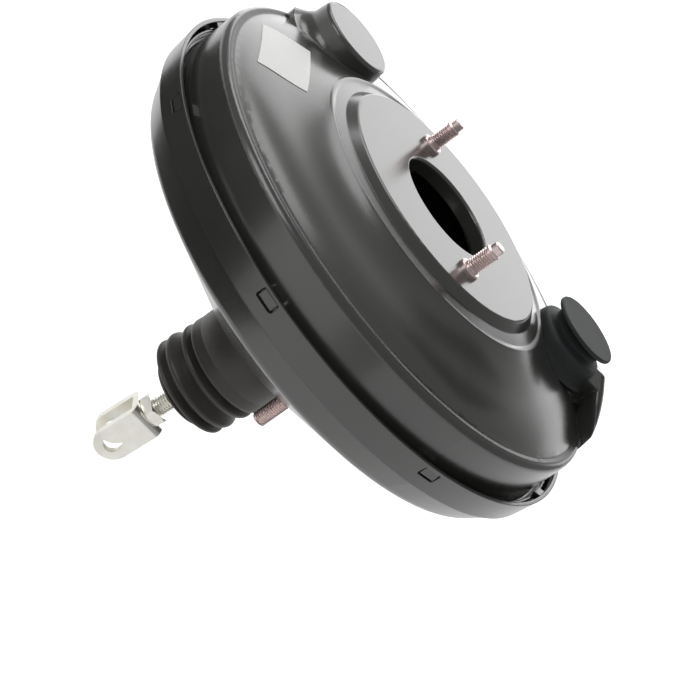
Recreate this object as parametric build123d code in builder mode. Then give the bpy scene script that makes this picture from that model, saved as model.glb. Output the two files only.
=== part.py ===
"""Single-diaphragm vacuum brake booster with through tie rods.

Frame: millimetres. The booster's axis is +Z, the front (master cylinder) side is up, and the
origin is the centre of the rear face that seats on the bulkhead. +X runs along the line of the
two tie rods.
"""
import math
import os

from build123d import *

# ---- driving dimensions -------------------------------------------------------------------
SHEET = 2.0                 # shell steel
ROD_PCD = 90.0              # tie rod pitch circle
FRONT_FACE_Z = 109.0        # master cylinder seat
LIP_Z = 68.0                # front edge of the rear shell
LIP_R = 138.9               # outside of that edge
SKIRT_FOOT_Z = 54.0         # fine step at the foot of the skirt
SKIRT_FOOT_R = 137.4
SPIGOT_R = 27.75            # master cylinder spigot bore
FACE_R = 64.5               # flat master cylinder seat
RIDGE_R = 77.3              # thin ridge round the raised centre
RIDGE_Z = 104.4
WALL_R = 131.8              # front shell's upright wall
BEAD_Z = 88.9               # low bead round the edge of the dome
WALL_TOP_Z = 84.5           # the wall turns in towards the bead from here
FLANGE_TOP_Z = 60.5         # front shell flange, in the channel behind the lip
BOSS_TOP_Z = 107.0
PORT_BOSS = (99.5, 77.0)    # polar place of the vacuum port boss: radius, degrees
PLAIN_BOSS = (106.6, 201.9)
PLAIN_BOSS_TOP_Z = 108.0
PORT_BOSS_TOP_R = 19.5
PLAIN_BOSS_TOP_R = 22.0
BOSS_ROOT_Z = 80.0          # bosses are built up from inside the dome
BOSS_RIM_R = 2.2
BOSS_DRAFT = 6.0            # degrees
BOSS_FLARE_R = 8.0
BOSS_FLARE_Z = 100.5        # the flare at a boss's foot starts here
# outer side of the bosses, above the wall: (radius, height)
BOSS_SIDE = ((131.5, 75.0), (131.5, 88.0), (128.8, 118.0))
RAMP_FOOT = 121.5           # from the axis to the straight inner side of the ramp by the port boss
RAMP_LEAN = 1.6             # that side leans outwards by this much
RAMP_TOP_Z = 105.6          # ramp's top beside the boss
RAMP_END_Z = 96.0           # and at its end
RAMP_LENGTH = 50.0
RAMP_WEB = 14.0             # half width of the web between ramp and boss
EDGE_R = 2.5                # rounding of the ramp's top edges
LANCE_COUNT = 8
LANCE_WIDTH = 8.6
LANCE_Z = 63.6              # middle of a lance's window
TAB_INNER_R = 133.4         # end of a lance's bent tab
NECK_R = 25.5               # rear shell neck, outside
NECK_END_Z = -20.0
TAIL_R = 20.5               # valve body tail
RIM_R = 135.3               # rolled rim of the front shell's flange, outside
RIM_TOP_Z = 64.5
COLLAR_DEPTH = 8.0          # drawn collar of the spigot bore
PORT_HOLE_R = 9.0
ROD_R = 5.0                 # tie rod inside the housing
ROD_NECK_R = 4.2            # tie rod where it passes the rear shell
SHOULDER_R = 5.75           # tie rod shoulder that fills the front shell's hole
STUD_R = 4.0                # M8
FRONT_STUD_Z = 128.5
REAR_STUD_Z = -19.5
CONE_START_R = 51.3         # rear shell: the flat seat ends, the cone starts
CORNER_R = 128.4            # rear shell: where cone and skirt would meet
CORNER_Z = 38.9
CORNER_BEND = 10.0
SEAL_R = 9.0                # tie rod seals in the diaphragm plate
HUB_R = 24.0
PLATE_Z = 14.5              # rear face of the diaphragm plate's flat
PLATE_SHEET = 1.5
BORE_R = 15.0               # valve body's rear bore
PLUNGER_R = 6.5
RECESS_R = 11.6             # valve body's front recess
KEY_Z = 4.05                # rear face of the stop key
KEY_THICK = 3.0
KEY_WIDTH = 16.0
VALVE_TRAVEL = 1.5
TAIL_END_Z = -52.0
GROOVE_R = 4.5              # plunger neck that the stop key straddles
SEAT_Z = -15.6              # plunger's rear valve seat
BALL_R = 4.5
SOCKET_MOUTH_R = 4.1
BALL_NECK_R = 3.4
PASSAGE_R = 1.8             # vacuum passages through the valve body
PASSAGE_PLACE_R = 14.6
DIAPHRAGM_THICK = 1.8
SPRING_R = 33.0             # return spring, mean
WIRE_R = 1.8
RUN = 0.05                  # running clearance
SOFT = 0.3                  # gap kept round rubber
BALL_Z = -8.0               # ball joint of the input rod
ROD_IN_R = 5.0              # input rod, M10 at its end
ROD_END_Z = -87.0
SPRING_SEAT_R = 10.4        # flange on the input rod that carries its spring
PIN_Z = -103.6              # clevis pin
PIN_HOLE_R = 5.0
CLEVIS_BACK_Z = -79.6
CLEVIS_END_Z = -113.4
CLEVIS_GAP = 10.0
CLEVIS_PLATE = 3.5
CLEVIS_WIDTH = 19.6
NUT_FLATS = 16.0
BOOT_TOP_Z = -2.2
BOOT_SLEEVE_R = 27.5
BOOT_CREST_R = 25.9         # middle of the wall
BOOT_ROOT_R = 24.2
BOOT_END_Z = -62.0
BOOT_THICK = 1.4
CAP_R = 19.5
CAP_SKIRT_R = 15.0
CAP_TOP_Z = 116.6
CAP_STEM_R = 7.5
CAP_STEM_Z = 97.0
CLEVIS_TURN = -13.0         # degrees, pin axis from +X
ROD_TILT = 4.5              # degrees, the input rod hangs to one side about its ball

ROD_PLACES = ((ROD_PCD / 2, 0), (-ROD_PCD / 2, 0))

os.makedirs("parts", exist_ok=True)


def polar(radius, degrees):
    """Point on the X-Y plane."""
    angle = math.radians(degrees)
    return (radius * math.cos(angle), radius * math.sin(angle))


def ring(inner_r, outer_r, low_z, high_z):
    """Plain ring about the axis, added to the part being built."""
    with BuildSketch(Plane.XY.offset(low_z)) as face:
        Circle(outer_r)
        Circle(inner_r, mode=Mode.SUBTRACT)
    extrude(face.sketch, amount=high_z - low_z)


def turned(*outline, mode=Mode.ADD):
    """Body of revolution from an outline of (radius, height) points."""
    with BuildSketch(Plane.XZ) as face:
        with BuildLine():
            Polyline(*outline, close=True)
        make_face()
    revolve(face.sketch, axis=Axis.Z, mode=mode)


def coil(mean_r, wire_r, low_z, high_z, turns, cone_angle=0):
    """Coil spring between two heights, its narrow end up if it has a cone angle."""
    height = high_z - low_z - 2 * wire_r
    with BuildLine(Plane.XY.offset(low_z + wire_r)):
        path = Helix(pitch=height / turns, height=height, radius=mean_r, cone_angle=cone_angle)
    with BuildSketch(Plane(origin=path @ 0, z_dir=path % 0)) as wire:
        Circle(wire_r)
    sweep(wire.sketch, path=path)


def hung(piece):
    """The piece swung about the ball joint with the input rod."""
    pin_line = Axis((0, 0, BALL_Z), polar(1, CLEVIS_TURN) + (0,))
    return piece.rotate(pin_line, -ROD_TILT)


def save(piece, label):
    """Name the solid and write its STEP file."""
    piece.label = label
    export_step(piece, f"parts/{label}.step")


# ---- front shell ----------------------------------------------------------------------------
def boss_form(place, top_r, top_z, inset):
    """One pressed boss: a round pad with a drafted side that flares out into the dome."""
    pad_z = top_z - inset
    pad_r = top_r - inset
    rim = max(BOSS_RIM_R - inset, 0.4)
    flare = BOSS_FLARE_R + inset
    flare_z = BOSS_FLARE_Z - inset
    foot_r = pad_r + (pad_z - rim - flare_z) * math.tan(math.radians(BOSS_DRAFT))
    with BuildPart() as form:
        with BuildSketch(Plane.XZ):
            with BuildLine():
                Line((0, BOSS_ROOT_Z), (0, pad_z))
                Line((0, pad_z), (pad_r - rim, pad_z))
                TangentArc((pad_r - rim, pad_z), (pad_r, pad_z - rim), tangent=(1, 0))
                Line((pad_r, pad_z - rim), (foot_r, flare_z))
                TangentArc((foot_r, flare_z), (foot_r + flare, flare_z - flare), tangent=(0, -1))
                Line((foot_r + flare, flare_z - flare), (foot_r + flare, BOSS_ROOT_Z))
                Line((foot_r + flare, BOSS_ROOT_Z), (0, BOSS_ROOT_Z))
            make_face()
        revolve(axis=Axis.Z)
    with BuildPart() as placed:
        with Locations(polar(*place)):
            add(form.part)
    return placed.part


def cut_outer_side(inset):
    """Keep what lies inside the bosses' outer side, which stands just within the wall."""
    (root_r, root_z), (wall_r, wall_z), (top_r, top_z) = BOSS_SIDE
    with BuildSketch(Plane.XZ) as inside:
        with BuildLine():
            Polyline(
                (0, root_z),
                (root_r - inset, root_z),
                (wall_r - inset, wall_z),
                (top_r - inset, top_z),
                (0, top_z),
                close=True,
            )
        make_face()
    revolve(inside.sketch, axis=Axis.Z, mode=Mode.INTERSECT)


def is_land_edge(edge):
    """Long top edge of the ramp: along its straight inner side or its curved outer side."""
    middle = edge.center()
    is_long = edge.length > 0.6 * RAMP_LENGTH
    return is_long and middle.Z > RAMP_END_Z and math.hypot(middle.X, middle.Y) > RAMP_FOOT


def ramp_form(inset):
    """Raised land outside the port boss: a straight inner side, falling away to both ends."""
    outwards = polar(1, PORT_BOSS[1]) + (0,)
    along = polar(1, PORT_BOSS[1] - 90) + (0,)
    foot = RAMP_FOOT + inset
    high_z = RAMP_TOP_Z + 4.0
    with BuildPart() as ramp:
        # section across the ramp, and the web that joins it to the boss
        with BuildSketch(Plane(origin=(0, 0, 0), x_dir=outwards, z_dir=along)):
            with BuildLine():
                Polyline(
                    (foot, BOSS_ROOT_Z),
                    (foot + RAMP_LEAN, high_z),
                    (WALL_R + 8.0, high_z),
                    (WALL_R + 8.0, BOSS_ROOT_Z),
                    close=True,
                )
            make_face()
        extrude(amount=RAMP_LENGTH, both=True)
        with BuildSketch(Plane(origin=(0, 0, BOSS_ROOT_Z), x_dir=outwards, z_dir=(0, 0, 1))):
            with Locations(((PORT_BOSS[0] + WALL_R) / 2, 0)):
                Rectangle(WALL_R - PORT_BOSS[0], 2 * (RAMP_WEB - inset))
        extrude(amount=high_z - BOSS_ROOT_Z)
        # falling top
        with BuildSketch(Plane(origin=(0, 0, 0), x_dir=along, z_dir=polar(1, PORT_BOSS[1] + 180) + (0,))):
            with BuildLine():
                Polyline(
                    (-RAMP_LENGTH, BOSS_ROOT_Z),
                    (-RAMP_LENGTH, RAMP_END_Z - inset),
                    (0, RAMP_TOP_Z - inset),
                    (RAMP_LENGTH, RAMP_END_Z - inset),
                    (RAMP_LENGTH, BOSS_ROOT_Z),
                    close=True,
                )
            make_face()
        extrude(amount=-WALL_R - 10.0, mode=Mode.INTERSECT)
        cut_outer_side(inset)
        if inset == 0:
            fillet(ramp.edges().filter_by(is_land_edge), EDGE_R)
    return ramp.part


def shell_form(inset):
    """Filled form of the pressed front shell, shrunk all over by inset."""
    dome = [(RIDGE_R + 1.3, RIDGE_Z - 0.7), (88.3, 99.5), (98.0, 96.8), (110.0, 94.2), (119.4, 91.3)]
    bead = [(124.6, 89.1), (126.4, 88.6), (128.4, BEAD_Z), (130.4, BEAD_Z - 0.8), (131.5, BEAD_Z - 2.4)]
    with BuildPart() as form:
        with BuildSketch(Plane.XZ):
            with BuildLine():
                Polyline(
                    (0, 56.0 - inset),
                    (0, FRONT_FACE_Z - inset),
                    (FACE_R - 0.6 * inset, FRONT_FACE_Z - inset),
                    (FACE_R + 4.2 - 0.6 * inset, RIDGE_Z + 0.5 - inset),
                    (RIDGE_R - 2.4, RIDGE_Z - 0.5 - inset),
                    (RIDGE_R - 0.7, RIDGE_Z - inset),
                    (RIDGE_R + 0.3, RIDGE_Z - inset),
                    (dome[0][0], dome[0][1] - inset),
                )
                if inset == 0:
                    Spline(dome + bead + [(WALL_R, WALL_TOP_Z)])
                else:
                    Spline([(r, z - inset) for r, z in dome] + [(WALL_R - 3.4 - inset, BEAD_Z - inset)])
                    Line((WALL_R - 3.4 - inset, BEAD_Z - inset), (WALL_R - inset, WALL_TOP_Z))
                Polyline(
                    (WALL_R - inset, WALL_TOP_Z),
                    (WALL_R - inset, 56.0 - inset),
                    (0, 56.0 - inset),
                )
            make_face()
        revolve(axis=Axis.Z)
    with BuildPart() as bosses:
        add(boss_form(PORT_BOSS, PORT_BOSS_TOP_R, BOSS_TOP_Z, inset))
        add(boss_form(PLAIN_BOSS, PLAIN_BOSS_TOP_R, PLAIN_BOSS_TOP_Z, inset))
        add(ramp_form(inset))
        cut_outer_side(inset)
    with BuildPart() as whole:
        add(form.part)
        add(bosses.part)
    return whole.part


with BuildPart() as front_shell:
    add(shell_form(0))
    add(shell_form(SHEET), mode=Mode.SUBTRACT)
    split(bisect_by=Plane.XY.offset(FLANGE_TOP_Z - SHEET), keep=Keep.TOP)
    # flange with its rolled rim, and the drawn collar of the spigot bore
    with BuildSketch(Plane.XZ):
        with BuildLine():
            Polyline(
                (WALL_R - 1.0, FLANGE_TOP_Z - SHEET),
                (RIM_R, FLANGE_TOP_Z - SHEET),
                (RIM_R, RIM_TOP_Z),
                (RIM_R - 1.0, RIM_TOP_Z),
                (RIM_R - 1.0, RIM_TOP_Z - 1.3),
                (RIM_R - 1.7, RIM_TOP_Z - 1.3),
                (RIM_R - 1.7, FLANGE_TOP_Z),
                (WALL_R + 0.8, FLANGE_TOP_Z),
                (WALL_R - 1.0, FLANGE_TOP_Z + 1.5),
                (WALL_R - 1.0, FLANGE_TOP_Z - SHEET),
            )
        make_face()
        with Locations((SPIGOT_R + SHEET / 2, FRONT_FACE_Z - COLLAR_DEPTH / 2)):
            Rectangle(SHEET, COLLAR_DEPTH)
    revolve(axis=Axis.Z)
    with BuildSketch(Plane.XY.offset(FRONT_FACE_Z + 1.0)):
        Circle(SPIGOT_R)
        with Locations(*ROD_PLACES):
            Circle(SHOULDER_R + RUN)
        with Locations(polar(*PORT_BOSS)):
            Circle(PORT_HOLE_R)
    extrude(amount=-20.0, mode=Mode.SUBTRACT)
    mouth = front_shell.edges().filter_by(GeomType.CIRCLE).filter_by(
        lambda e: abs(e.radius - SPIGOT_R) < 0.01 and abs(e.arc_center.Z - FRONT_FACE_Z) < 0.01)
    fillet(mouth, 1.4)
    seat_edge = front_shell.edges().filter_by(GeomType.CIRCLE).filter_by(
        lambda e: abs(e.radius - FACE_R) < 0.01 and abs(e.arc_center.Z - FRONT_FACE_Z) < 0.01)
    fillet(seat_edge, 1.8)
save(front_shell.part, "front_shell")


# ---- rear shell -----------------------------------------------------------------------------
with BuildPart() as rear_shell:
    with BuildSketch(Plane.XZ):
        with BuildLine():
            FilletPolyline(
                (NECK_R, NECK_END_Z),
                (NECK_R, 0),
                (CONE_START_R, 0),
                (CORNER_R, CORNER_Z),
                (SKIRT_FOOT_R - 0.5, SKIRT_FOOT_Z + 0.6),
                radius=(2.0, 3.0, CORNER_BEND),
            )
            offset(amount=SHEET, side=Side.LEFT)
        make_face()
        # skirt, a fine step outside the corner
        with BuildLine():
            Polyline(
                (SKIRT_FOOT_R - SHEET, SKIRT_FOOT_Z),
                (SKIRT_FOOT_R, SKIRT_FOOT_Z),
                (LIP_R, LIP_Z),
                (LIP_R - SHEET, LIP_Z),
                (SKIRT_FOOT_R - SHEET, SKIRT_FOOT_Z),
            )
        make_face()
        # turned-in end of the neck
        with Locations((NECK_R - 2.1, NECK_END_Z + 0.9)):
            Rectangle(4.2, 1.8)
    revolve(axis=Axis.Z)
    with BuildSketch(Plane.XY.offset(-1.0)):
        with Locations(*ROD_PLACES):
            Circle(ROD_NECK_R + RUN)
    extrude(amount=5.0, mode=Mode.SUBTRACT)
    # lances: a window in the skirt and the tab bent in over the front shell's rim
    with BuildSketch(Plane.YZ.offset(LIP_R - 8.0)):
        with Locations((0, LANCE_Z)):
            RectangleRounded(LANCE_WIDTH + 1.8, 5.6, 1.0)
    window = extrude(amount=12.0, mode=Mode.PRIVATE)
    with BuildSketch(Plane.XZ):
        with BuildLine():
            Polyline(
                (TAB_INNER_R, RIM_TOP_Z + 0.05),
                (RIM_R, RIM_TOP_Z + 0.05),
                (LIP_R - 1.4, LANCE_Z - 2.2),
                (LIP_R - 0.6, LANCE_Z - 1.6),
                (LIP_R - 0.6, LANCE_Z + 3.6),
                (LIP_R - 2.0, LANCE_Z + 3.6),
                (TAB_INNER_R, RIM_TOP_Z + 1.4),
                (TAB_INNER_R, RIM_TOP_Z + 0.05),
            )
        make_face()
    tab = extrude(amount=LANCE_WIDTH / 2, both=True, mode=Mode.PRIVATE)
    with PolarLocations(0, LANCE_COUNT):
        add(window, mode=Mode.SUBTRACT)
    with PolarLocations(0, LANCE_COUNT):
        add(tab)
save(rear_shell.part, "rear_shell")


# ---- tie rods and reinforcement plates ------------------------------------------------------
with BuildPart() as tie_rod:
    turned(
        (0, REAR_STUD_Z),
        (STUD_R - 0.8, REAR_STUD_Z),
        (STUD_R, REAR_STUD_Z + 0.8),
        (STUD_R, -0.4),
        (ROD_NECK_R, 0),
        (ROD_NECK_R, 4.0),
        (8.0, 4.0),
        (8.0, 6.4),
        (7.4, 7.0),
        (ROD_R, 7.0),
        (ROD_R, 102.0),
        (7.2, 102.0),
        (7.5, 102.3),
        (7.5, 105.0),
        (SHOULDER_R, 105.0),
        (SHOULDER_R, 110.9),
        (SHOULDER_R - 0.6, 111.5),
        (STUD_R, 111.5),
        (STUD_R, 124.2),
        (3.0, 125.0),
        (3.0, FRONT_STUD_Z - 0.6),
        (2.4, FRONT_STUD_Z),
        (0, FRONT_STUD_Z),
    )
with BuildPart() as tie_rods:
    with Locations(*ROD_PLACES):
        add(tie_rod.part)
save(tie_rods.part, "tie_rods")

with BuildPart() as rear_reinforcement_plate:
    ring(NECK_R + 2.2, 50.2, SHEET, 4.0)
    with BuildSketch(Plane.XY.offset(1.0)):
        with Locations(*ROD_PLACES):
            Circle(ROD_NECK_R + RUN)
    extrude(amount=4.0, mode=Mode.SUBTRACT)
save(rear_reinforcement_plate.part, "rear_reinforcement_plate")

with BuildPart() as front_reinforcement_plate:
    ring(31.0, 62.0, 105.0, FRONT_FACE_Z - SHEET)
    with BuildSketch(Plane.XY.offset(104.0)):
        with Locations(*ROD_PLACES):
            Circle(SHOULDER_R + RUN)
    extrude(amount=4.0, mode=Mode.SUBTRACT)
save(front_reinforcement_plate.part, "front_reinforcement_plate")


# ---- neck: guide bush, seal and dust boot ---------------------------------------------------
with BuildPart() as neck_guide:
    ring(TAIL_R + RUN, NECK_R - SHEET, NECK_END_Z + 1.8, -12.0)
save(neck_guide.part, "neck_guide")

with BuildPart() as neck_seal:
    turned(
        (NECK_R - SHEET, -11.8),
        (NECK_R - SHEET, -5.0),
        (22.2, -5.0),
        (22.2, -9.4),
        (TAIL_R + 0.8, -6.6),
        (TAIL_R + SOFT, -6.9),
        (TAIL_R + SOFT, -7.6),
        (21.4, -11.8),
    )
save(neck_seal.part, "neck_seal")

with BuildPart() as bellows:
    with BuildSketch(Plane.XZ):
        with BuildLine():
            FilletPolyline(
                (BOOT_SLEEVE_R - 1.1, -24.0),
                (BOOT_SLEEVE_R - 1.1, -29.0),
                (BOOT_ROOT_R + 0.6, -32.2),
                (BOOT_CREST_R, -36.6),
                (BOOT_CREST_R, -38.6),
                (BOOT_ROOT_R, -42.6),
                (BOOT_CREST_R - 0.2, -47.0),
                (BOOT_CREST_R - 0.2, -51.6),
                (BOOT_CREST_R - 2.2, -57.4),
                (BOOT_CREST_R - 6.8, BOOT_END_Z + 0.9),
                (7.0, BOOT_END_Z + 0.9),
                radius=(1.0, 1.3, 1.2, 1.2, 1.5, 1.2, 3.0, 3.0, 3.0),
            )
        trace(line_width=BOOT_THICK)
    revolve(axis=Axis.Z)
    # collar round the input rod
    turned(
        (ROD_IN_R + SOFT, BOOT_END_Z + 1.8),
        (ROD_IN_R + SOFT, BOOT_END_Z - 0.8),
        (ROD_IN_R + SOFT + 0.8, BOOT_END_Z - 1.6),
        (8.0, BOOT_END_Z - 1.6),
        (8.8, BOOT_END_Z - 0.8),
        (8.8, BOOT_END_Z + 1.8),
    )
with BuildPart() as dust_boot:
    # the bellows follows the input rod
    add(hung(bellows.part))
    # sleeve gripping the neck, with its end lip
    ring(NECK_R, BOOT_SLEEVE_R, -25.5, BOOT_TOP_Z)
    ring(NECK_R - 1.8, BOOT_SLEEVE_R - 0.4, -25.5, NECK_END_Z - 0.1)
save(dust_boot.part, "dust_boot")


# ---- diaphragm, its plate and the return spring ---------------------------------------------
with BuildPart() as diaphragm_plate:
    with BuildSketch(Plane.XZ):
        with BuildLine():
            FilletPolyline(
                (HUB_R, PLATE_Z + PLATE_SHEET / 2),
                (60.0, PLATE_Z + PLATE_SHEET / 2),
                (112.0, PLATE_Z + PLATE_SHEET / 2 + 26.0),
                (116.0, 50.0),
                radius=4.0,
            )
        trace(line_width=PLATE_SHEET)
    revolve(axis=Axis.Z)
    with BuildSketch(Plane.XY.offset(PLATE_Z - 1.0)):
        with Locations(*ROD_PLACES):
            Circle(SEAL_R)
    extrude(amount=4.0, mode=Mode.SUBTRACT)
save(diaphragm_plate.part, "diaphragm_plate")

with BuildPart() as diaphragm:
    with BuildSketch(Plane.XZ):
        # web along the plate, rolling fold, and the two beads
        with BuildLine():
            FilletPolyline(
                (HUB_R + 2.0, 13.3),
                (60.5, 13.3),
                (113.5, 39.8),
                (118.1, 49.9),
                (118.1, 52.0),
                radius=1.8,
            )
            ThreePointArc((118.1, 52.0), (121.8, 55.7), (125.5, 52.0))
            Line((125.5, 52.0), (129.0, 51.4))
        trace(line_width=DIAPHRAGM_THICK)
        with BuildLine():
            Polyline(
                (127.0, 49.5),
                (127.0, FLANGE_TOP_Z - SHEET),
                (134.2, FLANGE_TOP_Z - SHEET),
                (134.2, 55.5),
            )
            ThreePointArc((134.2, 55.5), (131.9, 50.4), (129.4, 47.6))
            Line((129.4, 47.6), (127.0, 49.5))
        make_face()
        with Locations((HUB_R + SOFT + 2.5, 13.0)):
            Rectangle(5.0, 2.4)
    revolve(axis=Axis.Z)
    with BuildSketch(Plane.XY.offset(10.0)):
        with Locations(*ROD_PLACES):
            Circle(SEAL_R + SOFT)
    extrude(amount=6.0, mode=Mode.SUBTRACT)
save(diaphragm.part, "diaphragm")

with BuildPart() as tie_rod_seal:
    turned(
        (ROD_R + SOFT + 1.0, 8.5),
        (SEAL_R - 1.0, 8.5),
        (SEAL_R, 9.5),
        (SEAL_R, 17.0),
        (SEAL_R - 1.5, 18.0),
        (ROD_R + SOFT + 1.0, 18.0),
        (ROD_R + SOFT, 17.0),
        (ROD_R + SOFT, 16.0),
        (ROD_R + 1.2, 15.0),
        (ROD_R + 1.2, 11.5),
        (ROD_R + SOFT, 10.5),
        (ROD_R + SOFT, 9.5),
    )
with BuildPart() as tie_rod_seals:
    with Locations(*ROD_PLACES):
        add(tie_rod_seal.part)
save(tie_rod_seals.part, "tie_rod_seals")

with BuildPart() as return_spring:
    coil(SPRING_R, WIRE_R, 17.5, 105.0, 5.5)
save(return_spring.part, "return_spring")


# ---- valve body and what moves with it ------------------------------------------------------
with BuildPart() as valve_body:
    turned(
        (BORE_R, TAIL_END_Z),
        (TAIL_R - 0.8, TAIL_END_Z),
        (TAIL_R, TAIL_END_Z + 0.8),
        (TAIL_R, 8.0),
        (30.2, 8.0),
        (31.0, 8.8),
        (31.0, 11.5),
        (HUB_R, 11.5),
        (HUB_R, 23.2),
        (HUB_R - 0.8, 24.0),
        (RECESS_R, 24.0),
        (RECESS_R, 16.0),
        (PLUNGER_R + RUN, 16.0),
        (PLUNGER_R + RUN, -12.0),
        (11.2, -12.0),
        (11.6, -14.5),
        (12.2, -14.5),
        (12.6, -12.0),
        (BORE_R, -12.0),
    )
    # cross slot for the stop key
    with BuildSketch(Plane.XY.offset(KEY_Z - 0.15)):
        Rectangle(KEY_WIDTH + 0.4, 2 * TAIL_R + 4.0)
    extrude(amount=KEY_THICK + 0.3, mode=Mode.SUBTRACT)
    # vacuum passages
    with BuildSketch(Plane.XY.offset(-12.0)):
        with PolarLocations(PASSAGE_PLACE_R, 4, start_angle=45):
            Circle(PASSAGE_R)
    extrude(amount=40.0, mode=Mode.SUBTRACT)
save(valve_body.part, "valve_body")

with BuildPart() as stop_key:
    with BuildSketch(Plane.XY.offset(KEY_Z)):
        RectangleRounded(KEY_WIDTH, 61.0, 3.0)
        with Locations((0, 20.0)):
            SlotCenterToCenter(40.0, 9.2, rotation=90, mode=Mode.SUBTRACT)
    extrude(amount=KEY_THICK)
save(stop_key.part, "stop_key")

with BuildPart() as reaction_disc:
    ring(0.8, RECESS_R - 0.1, 16.0, 20.0)
save(reaction_disc.part, "reaction_disc")

with BuildPart() as output_rod:
    turned(
        (0, 20.0),
        (RECESS_R - 0.1, 20.0),
        (RECESS_R - 0.1, 23.2),
        (RECESS_R - 0.9, 24.0),
        (6.5, 24.0),
        (5.5, 27.0),
        (5.5, 88.0),
        (4.5, 90.5),
        (4.5, 93.5),
        (3.0, 95.4),
        (0, 96.0),
    )
save(output_rod.part, "output_rod")

with BuildPart() as output_rod_retainer:
    turned(
        (7.2, 24.0),
        (HUB_R, 24.0),
        (HUB_R, 16.0),
        (35.5, 16.0),
        (35.5, 17.5),
        (HUB_R + 1.5, 17.5),
        (HUB_R + 1.5, 24.8),
        (HUB_R + 0.8, 25.5),
        (7.2, 25.5),
    )
    with BuildSketch(Plane.XY.offset(23.0)):
        with PolarLocations(PASSAGE_PLACE_R, 4, start_angle=45):
            Circle(PASSAGE_R + 0.4)
    extrude(amount=4.0, mode=Mode.SUBTRACT)
save(output_rod_retainer.part, "output_rod_retainer")

with BuildPart() as poppet_valve:
    turned(
        (7.3, -17.6),
        (7.3, -16.3),
        (7.9, -15.7),
        (12.8, -15.7),
        (13.4, -16.3),
        (13.4, -26.5),
        (BORE_R - 0.1, -26.5),
        (BORE_R - 0.1, -29.0),
        (12.4, -29.0),
        (12.4, -18.2),
        (7.9, -18.2),
    )
save(poppet_valve.part, "poppet_valve")

with BuildPart() as poppet_retainer:
    turned(
        (8.8, -30.2),
        (BORE_R - 0.05, -30.2),
        (BORE_R - 0.05, -29.0),
        (12.2, -29.0),
        (12.2, -22.0),
        (11.3, -22.0),
        (11.3, -29.0),
        (8.8, -29.0),
    )
save(poppet_retainer.part, "poppet_retainer")

with BuildPart() as poppet_spring:
    coil(9.8, 0.7, -29.0, -18.25, 3.0)
save(poppet_spring.part, "poppet_spring")

with BuildPart() as air_filter:
    ring(9.0, BORE_R - 0.1, -51.0, -47.0)
save(air_filter.part, "air_filter")


# ---- valve plunger, input rod and clevis ----------------------------------------------------
socket_mouth_z = BALL_Z - math.sqrt((BALL_R + RUN) ** 2 - SOCKET_MOUTH_R ** 2)
ball_neck_z = BALL_Z - math.sqrt(BALL_R ** 2 - BALL_NECK_R ** 2)
with BuildPart() as valve_plunger:
    turned(
        (0, SEAT_Z),
        (9.2, SEAT_Z),
        (9.5, SEAT_Z + 0.3),
        (9.5, SEAT_Z + 1.6),
        (PLUNGER_R, SEAT_Z + 1.9),
        (PLUNGER_R, KEY_Z - VALVE_TRAVEL - 0.15),
        (GROOVE_R, KEY_Z - VALVE_TRAVEL - 0.15),
        (GROOVE_R, KEY_Z + KEY_THICK + 0.1),
        (PLUNGER_R, KEY_Z + KEY_THICK + 0.1),
        (PLUNGER_R, 13.6),
        (PLUNGER_R - 0.8, 14.4),
        (0, 14.4),
    )
    # ball socket with its crimped mouth
    with BuildSketch(Plane.XZ):
        with BuildLine():
            Line((0, SEAT_Z - 1.0), (5.0, SEAT_Z - 1.0))
            Line((5.0, SEAT_Z - 1.0), (SOCKET_MOUTH_R, BALL_Z - 4.5))
            Line((SOCKET_MOUTH_R, BALL_Z - 4.5), (SOCKET_MOUTH_R, socket_mouth_z))
            ThreePointArc(
                (SOCKET_MOUTH_R, socket_mouth_z),
                (BALL_R + RUN, BALL_Z),
                (0, BALL_Z + BALL_R + RUN),
            )
            Line((0, BALL_Z + BALL_R + RUN), (0, SEAT_Z - 1.0))
        make_face()
    revolve(axis=Axis.Z, mode=Mode.SUBTRACT)
save(valve_plunger.part, "valve_plunger")

with BuildPart() as input_rod:
    with BuildSketch(Plane.XZ):
        with BuildLine():
            Polyline(
                (0, ROD_END_Z),
                (ROD_IN_R - 0.8, ROD_END_Z),
                (ROD_IN_R, ROD_END_Z + 0.8),
                (ROD_IN_R, -45.5),
                (SPRING_SEAT_R, -45.5),
                (SPRING_SEAT_R, -44.0),
                (ROD_IN_R, -44.0),
                (ROD_IN_R, -17.5),
                (BALL_NECK_R, -14.5),
                (BALL_NECK_R, ball_neck_z),
            )
            ThreePointArc((BALL_NECK_R, ball_neck_z), (BALL_R, BALL_Z), (0, BALL_Z + BALL_R))
            Line((0, BALL_Z + BALL_R), (0, ROD_END_Z))
        make_face()
    revolve(axis=Axis.Z)
save(hung(input_rod.part), "input_rod")

with BuildPart() as rod_return_spring:
    coil(9.7, 0.6, -44.0, -31.2, 4.0)
save(hung(rod_return_spring.part), "rod_return_spring")

with BuildPart() as jam_nut:
    with BuildSketch(Plane.XY.offset(CLEVIS_BACK_Z)):
        RegularPolygon(NUT_FLATS / 2, 6, major_radius=False, rotation=20)
        Circle(ROD_IN_R, mode=Mode.SUBTRACT)
    extrude(amount=6.0)
    # chamfered corners
    turned(
        (ROD_IN_R, CLEVIS_BACK_Z),
        (NUT_FLATS / 2, CLEVIS_BACK_Z),
        (NUT_FLATS / 2 + 1.3, CLEVIS_BACK_Z + 0.9),
        (NUT_FLATS / 2 + 1.3, CLEVIS_BACK_Z + 5.1),
        (NUT_FLATS / 2, CLEVIS_BACK_Z + 6.0),
        (ROD_IN_R, CLEVIS_BACK_Z + 6.0),
        mode=Mode.INTERSECT,
    )
save(hung(jam_nut.part), "jam_nut")

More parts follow.
